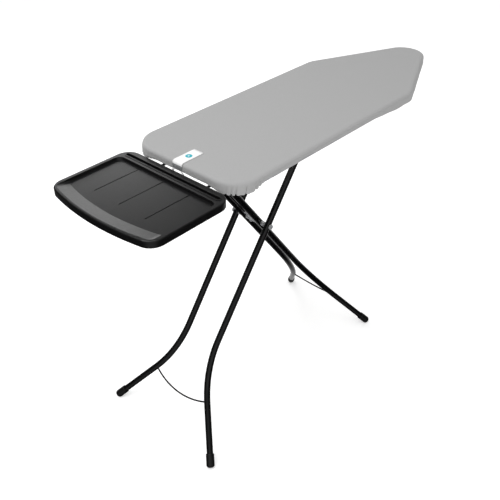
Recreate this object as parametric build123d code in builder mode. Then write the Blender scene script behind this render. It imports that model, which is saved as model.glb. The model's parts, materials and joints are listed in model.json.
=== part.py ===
"""Folding ironing board with crossed legs, a padded top and a tray for a steam station.

Millimetres.  +X runs from the tray to the pointed nose, +Y is the left side, +Z is up.
The origin is on the floor, under the middle of the overall length.
"""
from build123d import *
from math import asin, cos, radians, sin, sqrt, tan
import os

os.makedirs("parts", exist_ok=True)

# ---- board top -------------------------------------------------------------
board_length = 1250.0
board_width = 450.0
board_height = 995.0
tail_radius = 90.0
taper_share = 0.7
taper_angle = 25.0
shoulder_radius = 90.0
cover_thickness = 1.2
cover_edge_radius = 8.0
hem_width = 18.0
pad_thickness = 9.0
soft_gap = 0.3

# ---- steel frame under the pad ---------------------------------------------
deck_thickness = 1.2
deck_inset = 2.0
mesh_pitch_x = 60.0
mesh_pitch_y = 40.0
mesh_web = 5.0
mesh_margin = 26.0
rim_diameter = 16.0
rim_wall = 1.0
cross_bar_width = 20.0
cross_bar_height = 12.0
cross_bar_wall = 1.2
tail_bar_place = 60.0
nose_bar_place = 1080.0

# ---- crossed legs ----------------------------------------------------------
hinge_drop = 68.0
axle_height = 661.0
axle_place = 302.5
leg_angle = 53.8
tube_diameter = 22.0
tube_wall = 1.2
inner_spacing = 68.0
outer_spacing = 140.0
inner_foot_spread = 175.0
inner_splay = 332.0
inner_bend_radius = 700.0
outer_foot_spread = 178.0
outer_splay = 279.0
outer_bend_radius = 384.0
top_overhang = 14.0
plug_thickness = 4.0

# ---- pivots ----------------------------------------------------------------
axle_diameter = 10.0
running_clearance = 0.1
seat_clearance = 0.05
side_clearance = 0.3
sleeve_diameter = 16.0
axle_cap_diameter = 17.0
axle_cap_length = 6.0
axle_cap_hollow = 7.0
axle_cap_sink = 2.0
axle_cap_round = 1.5
bracket_gap = 2.0
hinge_axle_tail = 3.0
plate_thickness = 3.0
bracket_radius = 16.0
flange_width = 18.0
flange_rivet = 11.0

# ---- height rack -----------------------------------------------------------
slide_bar_diameter = 12.0
bush_wall = 2.0
bush_flange = 3.0
slot_clearance = 0.3
rack_side_gap = 5.5
rack_margin = 26.0
rack_lip = 14.0
lowest_height = 690.0
height_steps = 7
notch_depth = 6.0

# ---- carriage and release lever --------------------------------------------
carriage_half = 32.0
carriage_length = 46.0
carriage_hub = 10.0
carriage_rise = 24.0
carriage_sink = 4.0
carriage_round = 4.0
pocket_half = 23.0
pocket_start = 14.0
lever_pin_diameter = 6.0
lever_pin_place = 30.0
lever_pin_rise = 13.0
lever_hub = 7.5
lever_width = 34.0
lever_length = 120.0
lever_thickness = 8.0
lever_bend = 54.0
lever_rise = 1.0
lever_round = 2.5
pin_head_length = 2.0
pin_head_rim = 2.0
spring_wire = 1.2
spring_pitch = 1.3
spring_turns = 4

# ---- feet and braces -------------------------------------------------------
foot_diameter = 28.0
foot_length = 52.0
foot_floor = 16.0
foot_round = 9.0
foot_mouth_round = 1.6
sole_cut = 2.0
brace_wire = 5.5
outer_brace_start = 187.0
outer_brace_bow = 32.0
inner_brace_start = 196.0
inner_brace_bow = 24.0

# ---- lock arm --------------------------------------------------------------
arm_diameter = 14.0
arm_wall = 1.2
arm_bottom = 62.0
arm_top_gap = 22.0
strap_thickness = 3.0
strap_width = 13.0
strap_neck = 9.0
strap_eye = 12.5
strap_tongue = 24.0
strap_shoulder = 14.0
arm_plug_depth = 12.0

# ---- tray ------------------------------------------------------------------
tray_reach = 325.0
tray_edge_radius = 4.0
tray_gap = 10.0
tray_width = 436.0
tray_drop = 23.0
tray_depth = 22.0
rod_seat = 19.0
tray_front_bow = 27.0
tray_corner = 46.0
tray_wall = 2.6
well_depth = 8.0
well_side = 16.0
well_draft = 2.0
well_rear = 50.0
well_lip = 50.0
lip_edge = 8.0
well_corner = 20.0
channel_place = 28.0
channel_width = 12.0
channel_depth = 7.0
channel_length = 392.0
ridge_width = 4.0
ridge_height = 1.2
groove_width = 3.2
groove_depth = 1.2
groove_length = 163.0
groove_pitch = 108.0
groove_centre = 138.0
rod_diameter = 8.0
rod_spacing = 192.0
rod_front_gap = 40.0
rod_round = 1.0
rod_notch_gap = 0.6
clip_floor = 3.0
clip_half = 9.0
clamp_length = 16.0
clamp_width = 34.0
clamp_screw_spacing = 22.0
screw_diameter = 4.0
screw_head = 7.5
screw_head_height = 2.4
screw_roof = 1.0
clamp_floor = 4.0
clamp_places = (80.0, 240.0)
rivet_diameter = 5.0
rivet_head = 9.0
rivet_head_height = 2.0
rivet_head_round = 1.2
rivet_tail = 7.0
rivet_tail_height = 1.2

# ---- label -----------------------------------------------------------------
label_width = 40.0
label_place = 13.0
label_reach = 88.0
label_thickness = 0.6
label_hang = 24.0

# ---- worked-out places -----------------------------------------------------
sides = {"left": 1, "right": -1}
tail_x = (tray_reach - board_length) / 2
taper_start = taper_share * board_length
pad_top = board_height - cover_thickness
deck_top = pad_top - pad_thickness
rim_radius = rim_diameter / 2
rim_inset = cover_thickness + soft_gap + rim_radius
rim_z = deck_top - deck_thickness - rim_radius
hem_z = rim_z - rim_radius - soft_gap - cover_thickness
bar_bottom = rim_z - cross_bar_height / 2

tube_radius = tube_diameter / 2
hinge_z = board_height - hinge_drop
axle_x = tail_x + axle_place
upper_arm = (hinge_z - axle_height) / sin(radians(leg_angle))
lower_arm = axle_height / sin(radians(leg_angle))
arm_reach = upper_arm * cos(radians(leg_angle))
hinge_x = axle_x - arm_reach
slide_x = axle_x + arm_reach
folded_slide_x = hinge_x + 2 * upper_arm

axle_radius = axle_diameter / 2
inner_face = inner_spacing / 2 + tube_radius
outer_face = outer_spacing / 2 - tube_radius
bracket_y = inner_face + bracket_gap
rack_y = inner_face + rack_side_gap
bush_radius = slide_bar_diameter / 2 + bush_wall
slot_half = bush_radius + slot_clearance

tray_top = board_height - tray_drop
tray_bottom = tray_top - tray_depth
well_z = tray_top - well_depth
clamp_z = tray_top - rod_seat
rod_z = clamp_z - rod_diameter / 2


def save(piece, name):
    """Label a finished piece and write its STEP file."""
    piece.part.label = name
    export_step(piece.part, f"parts/{name}.step")


def half_width_at(place, inset):
    """Half the board's width at a distance from the square end, moved in by an inset."""
    slope = tan(radians(taper_angle))
    straight = board_width / 2 - inset
    if place < tail_radius:
        corner = tail_radius - inset
        return straight - corner + sqrt(max(0.0, corner**2 - (tail_radius - place) ** 2))
    if place <= taper_start:
        return straight
    return board_width / 2 - (place - taper_start) * slope - inset / cos(radians(taper_angle))


def tip_radius():
    """Radius that rounds the taper's point so that the board keeps its length."""
    half_angle = radians(taper_angle)
    apex = taper_start + board_width / 2 / tan(half_angle)
    return (apex - board_length) / (1 / sin(half_angle) - 1)


def board_outline(height, inset):
    """Plan shape of the board at a height: square end, parallel sides, rounded point."""
    half = board_width / 2
    apex_x = tail_x + taper_start + half / tan(radians(taper_angle))
    shoulder_x = tail_x + taper_start
    with BuildSketch(Plane.XY.offset(height)) as plan:
        with BuildLine():
            Polyline(
                (tail_x, -half),
                (shoulder_x, -half),
                (apex_x, 0),
                (shoulder_x, half),
                (tail_x, half),
                close=True,
            )
        make_face()
        fillet(plan.vertices().sort_by(Axis.X)[-1], radius=tip_radius())
        shoulders = plan.vertices().filter_by_position(Axis.X, shoulder_x - 1, shoulder_x + 1)
        fillet(shoulders, radius=shoulder_radius)
        fillet(plan.vertices().sort_by(Axis.X)[:2], radius=tail_radius)
        if inset:
            offset(amount=-inset)
    return plan.sketch


def sleeve(centre_x, centre_z, low_y, high_y, radius, bore=0.0):
    """Round pin or sleeve that lies across the board from low_y to high_y."""
    with BuildPart() as piece:
        with BuildSketch(Plane.XZ.offset(-high_y)):
            with Locations((centre_x, centre_z)):
                Circle(radius)
                if bore:
                    Circle(bore, mode=Mode.SUBTRACT)
        extrude(amount=high_y - low_y)
    return piece.part


def save_pair(piece, name):
    """Write a left piece and its mirrored twin on the right."""
    save(piece, f"{name}_left")
    with BuildPart() as twin:
        mirror(piece.part, about=Plane.XZ)
    save(twin, f"{name}_right")


# ---- soft top --------------------------------------------------------------
edge_x = tail_x + cover_edge_radius
edge_z = board_height - cover_edge_radius
with BuildPart() as label_band:
    with BuildSketch(Plane.XZ.offset(-label_place - label_width / 2)):
        for layer, mode in ((0.0, Mode.ADD), (-label_thickness, Mode.SUBTRACT)):
            bend = cover_edge_radius + layer
            middle = bend * sqrt(0.5)
            with BuildLine():
                Line((tail_x + label_reach, board_height + layer), (edge_x, edge_z + bend))
                ThreePointArc(
                    (edge_x, edge_z + bend),
                    (edge_x - middle, edge_z + middle),
                    (edge_x - bend, edge_z),
                )
                Polyline(
                    (edge_x - bend, edge_z),
                    (edge_x - bend, board_height - label_hang),
                    (tail_x + label_reach, board_height - label_hang),
                    (tail_x + label_reach, board_height + layer),
                )
            make_face(mode=mode)
    extrude(amount=label_width)
save(label_band, "label_band")

with BuildPart() as cover_core:
    add(board_outline(hem_z + cover_thickness, cover_thickness))
    extrude(amount=pad_top - hem_z - cover_thickness)
    core_edge = cover_core.faces().sort_by(Axis.Z)[-1].edges()
    fillet(core_edge, radius=cover_edge_radius - cover_thickness)

with BuildPart() as cover:
    add(board_outline(hem_z, 0))
    extrude(amount=board_height - hem_z)
    fillet(cover.faces().sort_by(Axis.Z)[-1].edges(), radius=cover_edge_radius)
    add(cover_core.part, mode=Mode.SUBTRACT)
    add(board_outline(hem_z, hem_width))
    extrude(amount=cover_thickness, mode=Mode.SUBTRACT)
    add(label_band.part, mode=Mode.SUBTRACT)
save(cover, "cover")

with BuildPart() as pad:
    add(board_outline(deck_top, cover_thickness + soft_gap))
    extrude(amount=pad_thickness)
    fillet(pad.faces().sort_by(Axis.Z)[-1].edges(), radius=cover_edge_radius - cover_thickness)
save(pad, "pad")

# ---- steel frame of the top ------------------------------------------------
hole_half_x = mesh_pitch_x / 2 - mesh_web / 2
hole_half_y = mesh_pitch_y / 2 - mesh_web / 2
mesh_points = []
rows = int(board_width / mesh_pitch_y)
columns = int(board_length / mesh_pitch_x)
for row in range(-rows, rows + 1):
    y = row * mesh_pitch_y / 2
    shift = mesh_pitch_x / 2 if row % 2 else 0.0
    for column in range(columns + 1):
        place = column * mesh_pitch_x + shift
        inside_ends = mesh_margin + hole_half_x < place < board_length - mesh_margin - hole_half_x
        room = min(
            half_width_at(place - hole_half_x, mesh_margin),
            half_width_at(place + hole_half_x, mesh_margin),
        )
        if inside_ends and abs(y) + hole_half_y < room:
            mesh_points.append((tail_x + place, y))

with BuildPart() as deck_mesh:
    with BuildSketch(Plane.XY.offset(deck_top - deck_thickness)):
        add(board_outline(deck_top - deck_thickness, deck_inset))
        with Locations(*mesh_points):
            Polygon(
                (-hole_half_x, 0),
                (0, -hole_half_y),
                (hole_half_x, 0),
                (0, hole_half_y),
                mode=Mode.SUBTRACT,
            )
    extrude(amount=deck_thickness)
save(deck_mesh, "deck_mesh")

rim_line = board_outline(rim_z, rim_inset).edges()
tail_limit = tail_x + rim_inset + 0.1
tip_limit = tail_x + taper_start + shoulder_radius
rim_paths = {
    "rim_tail": rim_line.filter_by(lambda edge: edge.center().X < tail_limit),
    "rim_side_left": rim_line.filter_by(lambda edge: edge.center().Y > 1),
    "rim_side_right": rim_line.filter_by(lambda edge: edge.center().Y < -1),
    "rim_nose": rim_line.filter_by(
        lambda edge: abs(edge.center().Y) < 1 and edge.center().X > tip_limit
    ),
}


def rim_tube(edges, bore):
    """Tube bent along some edges of the rim line; a bore of zero leaves it solid."""
    path = Wire(edges)
    with BuildPart() as tube:
        with BuildSketch(Plane(origin=path @ 0, z_dir=path % 0)):
            Circle(rim_radius)
            if bore:
                Circle(bore, mode=Mode.SUBTRACT)
        sweep(path=path)
    return tube.part


rim_envelope = {}
for name, edges in rim_paths.items():
    rim_envelope[name] = rim_tube(edges, 0)
    with BuildPart() as rim_piece:
        add(rim_tube(edges, rim_radius - rim_wall))
    save(rim_piece, name)

bracket_rivet_y = bracket_y + flange_rivet
rail_rivet_y = rack_y + flange_rivet
rivet_rows = {
    "cross_bar_hinge": bracket_rivet_y,
    "cross_bar_rack_rear": rail_rivet_y,
    "cross_bar_rack_front": rail_rivet_y,
}
bar_places = {
    "cross_bar_tail": tail_bar_place,
    "cross_bar_hinge": hinge_x - tail_x,
    "cross_bar_rack_rear": slide_x - tail_x - rack_margin,
    "cross_bar_rack_front": folded_slide_x - tail_x + rack_margin,
    "cross_bar_nose": nose_bar_place,
}
for name, place in bar_places.items():
    half_bar = half_width_at(place, rim_inset)
    centre = (tail_x + place, 0, rim_z)
    with BuildPart() as cross_bar:
        with Locations(centre):
            Box(cross_bar_width, 2 * half_bar, cross_bar_height)
            Box(
                cross_bar_width - 2 * cross_bar_wall,
                2 * half_bar,
                cross_bar_height - 2 * cross_bar_wall,
                mode=Mode.SUBTRACT,
            )
        add(rim_envelope["rim_side_left"], mode=Mode.SUBTRACT)
        add(rim_envelope["rim_side_right"], mode=Mode.SUBTRACT)
        if name in rivet_rows:
            with BuildSketch(Plane.XY.offset(bar_bottom)):
                with GridLocations(0, 2 * rivet_rows[name], 1, 2):
                    with Locations((tail_x + place, 0)):
                        Circle(rivet_diameter / 2 + seat_clearance)
            extrude(amount=cross_bar_wall, mode=Mode.SUBTRACT)
    save(cross_bar, name)


def rivet(x, y):
    """Rivet that holds a flange under a cross bar, with a head on both sides."""
    low = bar_bottom - plate_thickness
    high = bar_bottom + cross_bar_wall
    with BuildPart() as piece:
        with BuildSketch(Plane.XY.offset(low - rivet_head_height)):
            with Locations((x, y)):
                Circle(rivet_head / 2)
        extrude(amount=rivet_head_height)
        fillet(piece.faces().sort_by(Axis.Z)[0].edges(), radius=rivet_head_round)
        with BuildSketch(Plane.XY.offset(low)):
            with Locations((x, y)):
                Circle(rivet_diameter / 2)
        extrude(amount=high - low)
        with BuildSketch(Plane.XY.offset(high)):
            with Locations((x, y)):
                Circle(rivet_tail / 2)
        extrude(amount=rivet_tail_height)
    return piece.part


with BuildPart() as bracket_rivets:
    for side in sides.values():
        add(rivet(hinge_x, side * bracket_rivet_y))
save(bracket_rivets, "bracket_rivets")

with BuildPart() as rail_rivets:
    for bar in ("cross_bar_rack_rear", "cross_bar_rack_front"):
        for side in sides.values():
            add(rivet(tail_x + bar_places[bar], side * rail_rivet_y))
save(rail_rivets, "rail_rivets")

# ---- leg hinge under the square end ----------------------------------------
with BuildPart() as hinge_bracket:
    with BuildSketch(Plane.XZ.offset(-bracket_y - plate_thickness)):
        with Locations((hinge_x, hinge_z)):
            Circle(bracket_radius)
            Rectangle(
                2 * bracket_radius,
                bar_bottom - hinge_z,
                align=(Align.CENTER, Align.MIN),
            )
            Circle(axle_radius + seat_clearance, mode=Mode.SUBTRACT)
    extrude(amount=plate_thickness)
    with Locations((hinge_x, bracket_y, bar_bottom - plate_thickness)):
        Box(
            2 * bracket_radius,
            flange_width,
            plate_thickness,
            align=(Align.CENTER, Align.MIN, Align.MIN),
        )
    with BuildSketch(Plane.XY.offset(bar_bottom)):
        with Locations((hinge_x, bracket_rivet_y)):
            Circle(rivet_diameter / 2 + seat_clearance)
    extrude(amount=-plate_thickness, mode=Mode.SUBTRACT)
save_pair(hinge_bracket, "hinge_bracket")

hinge_axle_end = bracket_y + plate_thickness + hinge_axle_tail
with BuildPart() as hinge_axle:
    add(sleeve(hinge_x, hinge_z, -hinge_axle_end, hinge_axle_end, axle_radius))
save(hinge_axle, "hinge_axle")

with BuildPart() as hinge_axle_caps:
    cap_start = bracket_y + plate_thickness + soft_gap
    add(
        sleeve(
            hinge_x, hinge_z, cap_start, hinge_axle_end,
            sleeve_diameter / 2, axle_radius,
        )
    )
    mirror(hinge_axle_caps.part, about=Plane.XZ)
save(hinge_axle_caps, "hinge_axle_caps")

# ---- height rack -----------------------------------------------------------
leg_reach = upper_arm + lower_arm
notch_places = []
for step in range(height_steps):
    height = board_height - step * (board_height - lowest_height) / (height_steps - 1)
    tilt = asin((height - hinge_drop) / leg_reach)
    notch_places.append((hinge_x + 2 * upper_arm * cos(tilt), hinge_z + notch_depth))

rail_start = slide_x - rack_margin - cross_bar_width / 2
rail_end = folded_slide_x + rack_margin + cross_bar_width / 2
with BuildPart() as rack_rail:
    with BuildSketch(Plane.XZ.offset(-rack_y - plate_thickness)):
        with Locations((rail_start, hinge_z - rack_lip)):
            Rectangle(
                rail_end - rail_start,
                bar_bottom - hinge_z + rack_lip,
                align=(Align.MIN, Align.MIN),
            )
        with Locations(((slide_x + folded_slide_x) / 2, hinge_z)):
            SlotCenterToCenter(folded_slide_x - slide_x, 2 * slot_half, mode=Mode.SUBTRACT)
        with Locations(*notch_places):
            Circle(slot_half, mode=Mode.SUBTRACT)
    extrude(amount=plate_thickness)
    with Locations((rail_start, rack_y, bar_bottom - plate_thickness)):
        Box(
            rail_end - rail_start,
            flange_width,
            plate_thickness,
            align=(Align.MIN, Align.MIN, Align.MIN),
        )
    with BuildSketch(Plane.XY.offset(bar_bottom)):
        with Locations((slide_x - rack_margin, rail_rivet_y)):
            Circle(rivet_diameter / 2 + seat_clearance)
        with Locations((folded_slide_x + rack_margin, rail_rivet_y)):
            Circle(rivet_diameter / 2 + seat_clearance)
    extrude(amount=-plate_thickness, mode=Mode.SUBTRACT)
save_pair(rack_rail, "rack_rail")


# ---- legs ------------------------------------------------------------------
def leg_plane(direction):
    """Plane of a leg frame at the scissor axle: x to the left side, y down the legs."""
    down = Vector(direction * cos(radians(leg_angle)), 0, -sin(radians(leg_angle)))
    across = Vector(0, 1, 0)
    return Plane(origin=(axle_x, 0, axle_height), x_dir=across, z_dir=across.cross(down))


def splay_direction(legs):
    """Direction of a splayed foot in its leg frame's plane, as a unit vector."""
    return Vector(legs["spread"], legs["splay"]).normalized()


def leg_tube(legs, bore):
    """Left tube of a leg frame, bent out to its foot; a bore of zero leaves it solid."""
    half = legs["spacing"] / 2
    foot = Vector(half + legs["spread"], lower_arm) - splay_direction(legs) * foot_floor
    points = [
        (half, -upper_arm - top_overhang),
        (half, lower_arm - legs["splay"]),
        (foot.X, foot.Y),
    ]
    with BuildPart() as tube:
        with BuildLine(legs["plane"]) as centre_line:
            FilletPolyline(*points, radius=legs["bend"])
        path = centre_line.line
        with BuildSketch(Plane(origin=path @ 0, z_dir=path % 0)):
            Circle(tube_radius)
            if bore:
                Circle(bore, mode=Mode.SUBTRACT)
        sweep(path=path)
    return tube.part


def drill(places):
    """Pins across the whole board for cutting holes: each place is x, z and a radius."""
    with BuildPart() as pins:
        for x, z, radius in places:
            add(sleeve(x, z, -board_width, board_width, radius))
    return pins.part


def foot_cap(legs):
    """Rubber cap of the left foot, round at its end and cut level with the floor."""
    plane = legs["plane"]
    splay = splay_direction(legs)
    floor_point = Vector(legs["spacing"] / 2 + legs["spread"], lower_arm)
    top = plane.from_local_coords(floor_point - splay * foot_length)
    direction = (plane.from_local_coords(floor_point) - top).normalized()
    slope = -direction.Z
    lean = sqrt(1 - slope**2)
    flat_radius = foot_diameter / 2 - foot_round
    end_height = foot_round * (1 - slope) + flat_radius * lean - sole_cut
    with BuildPart() as cap:
        with BuildSketch(Plane(origin=top, z_dir=direction)):
            Circle(foot_diameter / 2)
        extrude(amount=foot_length - end_height / slope)
        fillet(cap.faces().sort_by(Axis.Z)[0].edges(), radius=foot_round)
        split(bisect_by=Plane.XY, keep=Keep.TOP)
        fillet(cap.faces().sort_by(Axis.Z)[-1].edges(), radius=foot_mouth_round)
        with BuildSketch(Plane(origin=top, z_dir=direction)):
            Circle(tube_radius)
        extrude(amount=foot_length - foot_floor, mode=Mode.SUBTRACT)
    return cap.part


def leg_plugs(legs):
    """Plastic plugs in both upper tube ends of a leg frame."""
    plane = legs["plane"]
    top = -upper_arm - top_overhang
    with BuildPart() as plugs:
        for side in sides.values():
            end = plane.from_local_coords((side * legs["spacing"] / 2, top))
            with BuildSketch(Plane(origin=end, z_dir=plane.y_dir)):
                Circle(tube_radius - tube_wall)
            extrude(amount=plug_thickness)
            with BuildSketch(Plane(origin=end, z_dir=plane.y_dir)):
                Circle(tube_radius)
            extrude(amount=-plug_thickness)
    return plugs.part


def brace(legs):
    """Bowed wire between the two splayed tubes of a leg frame."""
    start = legs["brace_start"]
    half = legs["spacing"] / 2 + legs["spread"] * (legs["splay"] - start) / legs["splay"]
    low = lower_arm - start
    with BuildPart() as wire:
        with BuildLine(legs["plane"]) as centre_line:
            ThreePointArc((-half, low), (0, low + legs["brace_bow"]), (half, low))
        path = centre_line.line
        with BuildSketch(Plane(origin=path @ 0, z_dir=path % 0)):
            Circle(brace_wire / 2)
        sweep(path=path)
        solid_leg = leg_tube(legs, 0)
        add(solid_leg, mode=Mode.SUBTRACT)
        add(mirror(solid_leg, about=Plane.XZ, mode=Mode.PRIVATE), mode=Mode.SUBTRACT)
    return wire.part


turning_hole = axle_radius + running_clearance
fixed_hole = axle_radius + seat_clearance
bar_hole = slide_bar_diameter / 2 + seat_clearance
inner_legs = {
    "plane": leg_plane(1),
    "spacing": inner_spacing,
    "spread": inner_foot_spread,
    "splay": inner_splay,
    "bend": inner_bend_radius,
    "brace_start": inner_brace_start,
    "brace_bow": inner_brace_bow,
    "holes": [(axle_x, axle_height, fixed_hole), (hinge_x, hinge_z, turning_hole)],
}
outer_legs = {
    "plane": leg_plane(-1),
    "spacing": outer_spacing,
    "spread": outer_foot_spread,
    "splay": outer_splay,
    "bend": outer_bend_radius,
    "brace_start": outer_brace_start,
    "brace_bow": outer_brace_bow,
    "holes": [(axle_x, axle_height, turning_hole), (slide_x, hinge_z, bar_hole)],
}
for name, legs in (("inner", inner_legs), ("outer", outer_legs)):
    with BuildPart() as leg:
        add(leg_tube(legs, tube_radius - tube_wall))
        add(drill(legs["holes"]), mode=Mode.SUBTRACT)
    save_pair(leg, f"{name}_leg")
    with BuildPart() as foot:
        add(foot_cap(legs))
    save_pair(foot, f"{name}_foot_cap")
    with BuildPart() as plugs:
        add(leg_plugs(legs))
    save(plugs, f"{name}_leg_plugs")
    with BuildPart() as stay:
        add(brace(legs))
    save(stay, f"{name}_brace_wire")

# ---- scissor axle ----------------------------------------------------------
inside_face = inner_spacing / 2 - tube_radius
outside_face = outer_spacing / 2 + tube_radius
axle_end = outside_face + axle_cap_length / 2
with BuildPart() as scissor_axle:
    add(sleeve(axle_x, axle_height, -axle_end, axle_end, axle_radius))
save(scissor_axle, "scissor_axle")

with BuildPart() as axle_sleeve:
    half = inside_face - side_clearance
    add(sleeve(axle_x, axle_height, -half, half, sleeve_diameter / 2, fixed_hole))
save(axle_sleeve, "axle_sleeve")

with BuildPart() as axle_spacers:
    low = inner_face + seat_clearance
    high = outer_face - side_clearance
    add(sleeve(axle_x, axle_height, low, high, sleeve_diameter / 2, fixed_hole))
    mirror(axle_spacers.part, about=Plane.XZ)
save(axle_spacers, "axle_spacers")

with BuildPart() as axle_cap:
    low = outside_face + side_clearance
    high = low + axle_cap_length
    add(sleeve(axle_x, axle_height, low, high, axle_cap_diameter / 2))
    fillet(axle_cap.faces().sort_by(Axis.Y)[-1].edges(), radius=axle_cap_round)
    add(sleeve(axle_x, axle_height, low, axle_end, axle_radius), mode=Mode.SUBTRACT)
    hollow = sleeve(axle_x, axle_height, high - axle_cap_sink, high, axle_cap_hollow / 2)
    add(hollow, mode=Mode.SUBTRACT)
save_pair(axle_cap, "axle_cap")

with BuildPart() as hinge_sleeve:
    half = inside_face - side_clearance
    add(sleeve(hinge_x, hinge_z, -half, half, sleeve_diameter / 2, turning_hole))
save(hinge_sleeve, "hinge_sleeve")

with BuildPart() as hinge_washers:
    low = inner_face + seat_clearance
    high = bracket_y - side_clearance
    add(sleeve(hinge_x, hinge_z, low, high, sleeve_diameter / 2, turning_hole))
    mirror(hinge_washers.part, about=Plane.XZ)
save(hinge_washers, "hinge_washers")

# ---- slide bar of the outer legs -------------------------------------------
slide_bar_end = outside_face + plug_thickness
with BuildPart() as slide_bar:
    add(sleeve(slide_x, hinge_z, -slide_bar_end, slide_bar_end, slide_bar_diameter / 2))
save(slide_bar, "slide_bar")

with BuildPart() as slide_bar_caps:
    low = outside_face + seat_clearance
    add(sleeve(slide_x, hinge_z, low, slide_bar_end, bush_radius, slide_bar_diameter / 2))
    mirror(slide_bar_caps.part, about=Plane.XZ)
save(slide_bar_caps, "slide_bar_caps")

with BuildPart() as slide_bushes:
    barrel_start = rack_y - side_clearance
    flange_start = rack_y + plate_thickness + side_clearance
    bush_end = outer_face - seat_clearance
    add(sleeve(slide_x, hinge_z, barrel_start, bush_end, bush_radius, bar_hole))
    add(sleeve(slide_x, hinge_z, flange_start, bush_end, bush_radius + bush_flange, bar_hole))
    mirror(slide_bushes.part, about=Plane.XZ)
save(slide_bushes, "slide_bushes")

# ---- carriage and release lever --------------------------------------------
pin_x = slide_x + lever_pin_place
pin_z = hinge_z + lever_pin_rise
pin_radius = lever_pin_diameter / 2
with BuildPart() as carriage_block:
    with BuildSketch(Plane.XZ.offset(-carriage_half)):
        with Locations((slide_x, hinge_z)):
            Circle(carriage_hub)
        with Locations((slide_x - carriage_hub, hinge_z - carriage_sink)):
            Rectangle(
                carriage_length + carriage_hub,
                carriage_sink + carriage_rise,
                align=(Align.MIN, Align.MIN),
            )
    extrude(amount=2 * carriage_half)
    fillet(carriage_block.edges().filter_by(Axis.Y).sort_by(Axis.Z)[-2:], radius=carriage_round)
    with Locations((slide_x + pocket_start, 0, hinge_z)):
        Box(
            carriage_length,
            2 * pocket_half,
            4 * carriage_rise,
            align=(Align.MIN, Align.CENTER, Align.CENTER),
            mode=Mode.SUBTRACT,
        )
    block_holes = [
        (slide_x, hinge_z, slide_bar_diameter / 2 + running_clearance),
        (pin_x, pin_z, pin_radius + seat_clearance),
    ]
    add(drill(block_holes), mode=Mode.SUBTRACT)
save(carriage_block, "carriage_block")

with BuildPart() as lever_pin:
    head_end = carriage_half + pin_head_length
    head_radius = pin_radius + pin_head_rim
    add(sleeve(pin_x, pin_z, -head_end, head_end, pin_radius))
    add(sleeve(pin_x, pin_z, carriage_half, head_end, head_radius))
    add(sleeve(pin_x, pin_z, -head_end, -carriage_half, head_radius))
save(lever_pin, "lever_pin")

lever_half = lever_width / 2
lever_tip = pin_x + lever_length
lever_top = pin_z - lever_rise
with BuildPart() as release_lever:
    with BuildSketch(Plane.XZ.offset(-lever_half)):
        with Locations((pin_x, pin_z)):
            Circle(lever_hub)
        with BuildLine():
            Spline(
                (pin_x, pin_z + lever_hub),
                (pin_x + lever_bend, pin_z + lever_rise),
                (lever_tip, lever_top),
            )
            Line((lever_tip, lever_top), (lever_tip, lever_top - lever_thickness))
            Spline(
                (lever_tip, lever_top - lever_thickness),
                (pin_x + lever_bend, pin_z + lever_rise - lever_thickness),
                (pin_x, pin_z - lever_hub),
            )
            Line((pin_x, pin_z - lever_hub), (pin_x, pin_z + lever_hub))
        make_face()
    extrude(amount=lever_width)
    fillet(release_lever.faces().sort_by(Axis.X)[-1].edges(), radius=lever_round)
    add(sleeve(pin_x, pin_z, -pocket_half + side_clearance, 0, lever_hub))
    add(drill([(pin_x, pin_z, pin_radius + running_clearance)]), mode=Mode.SUBTRACT)
save(release_lever, "release_lever")

spring_start = lever_half + spring_wire / 2 + side_clearance
with BuildPart() as lever_spring:
    with BuildLine() as coil:
        Helix(
            pitch=spring_pitch,
            height=spring_pitch * (spring_turns - 1),
            radius=pin_radius + spring_wire,
            center=(pin_x, spring_start, pin_z),
            direction=(0, 1, 0),
        )
    with BuildSketch(Plane(origin=coil.line @ 0, z_dir=coil.line % 0)):
        Circle(spring_wire / 2)
    sweep(path=coil.line)
save(lever_spring, "lever_spring")

# ---- lock arm between the inner legs ---------------------------------------
arm_plane = inner_legs["plane"]
arm_high = -upper_arm + arm_top_gap
with BuildPart() as lock_arm_tube:
    lower_end = arm_plane.from_local_coords((0, -arm_bottom))
    with BuildSketch(Plane(origin=lower_end, z_dir=arm_plane.y_dir)):
        Circle(arm_diameter / 2)
        Circle(arm_diameter / 2 - arm_wall, mode=Mode.SUBTRACT)
    extrude(amount=arm_high + arm_bottom)
save(lock_arm_tube, "lock_arm_tube")

side_plane = Plane(
    origin=(axle_x, strap_thickness / 2, axle_height),
    x_dir=arm_plane.y_dir,
    z_dir=(0, -1, 0),
)
tongue_half = sqrt((arm_diameter / 2 - arm_wall) ** 2 - strap_thickness**2 / 4) - seat_clearance
with BuildPart() as lock_arm_strap:
    with BuildSketch(side_plane):
        Circle(strap_eye)
        with BuildLine():
            Polyline(
                (-arm_bottom - strap_tongue, -tongue_half),
                (-arm_bottom + seat_clearance, -tongue_half),
                (-arm_bottom + seat_clearance, -strap_width / 2),
                (-arm_bottom + strap_shoulder, -strap_width / 2),
                (-strap_eye, -strap_neck / 2),
                (0, -strap_neck / 2),
                (0, strap_neck / 2),
                (-strap_eye, strap_neck / 2),
                (-arm_bottom + strap_shoulder, strap_width / 2),
                (-arm_bottom + seat_clearance, strap_width / 2),
                (-arm_bottom + seat_clearance, tongue_half),
                (-arm_bottom - strap_tongue, tongue_half),
                close=True,
            )
        make_face()
        Circle(sleeve_diameter / 2 + running_clearance, mode=Mode.SUBTRACT)
    extrude(amount=strap_thickness)
save(lock_arm_strap, "lock_arm_strap")

with BuildPart() as lock_arm_plug:
    upper_end = arm_plane.from_local_coords((0, arm_high))
    with BuildSketch(Plane(origin=upper_end, z_dir=arm_plane.y_dir)):
        Circle(arm_diameter / 2 - arm_wall)
    extrude(amount=arm_plug_depth)
    with BuildSketch(Plane(origin=upper_end, z_dir=arm_plane.y_dir)):
        Circle(arm_diameter / 2)
    extrude(amount=-plug_thickness)
save(lock_arm_plug, "lock_arm_plug")


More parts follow.
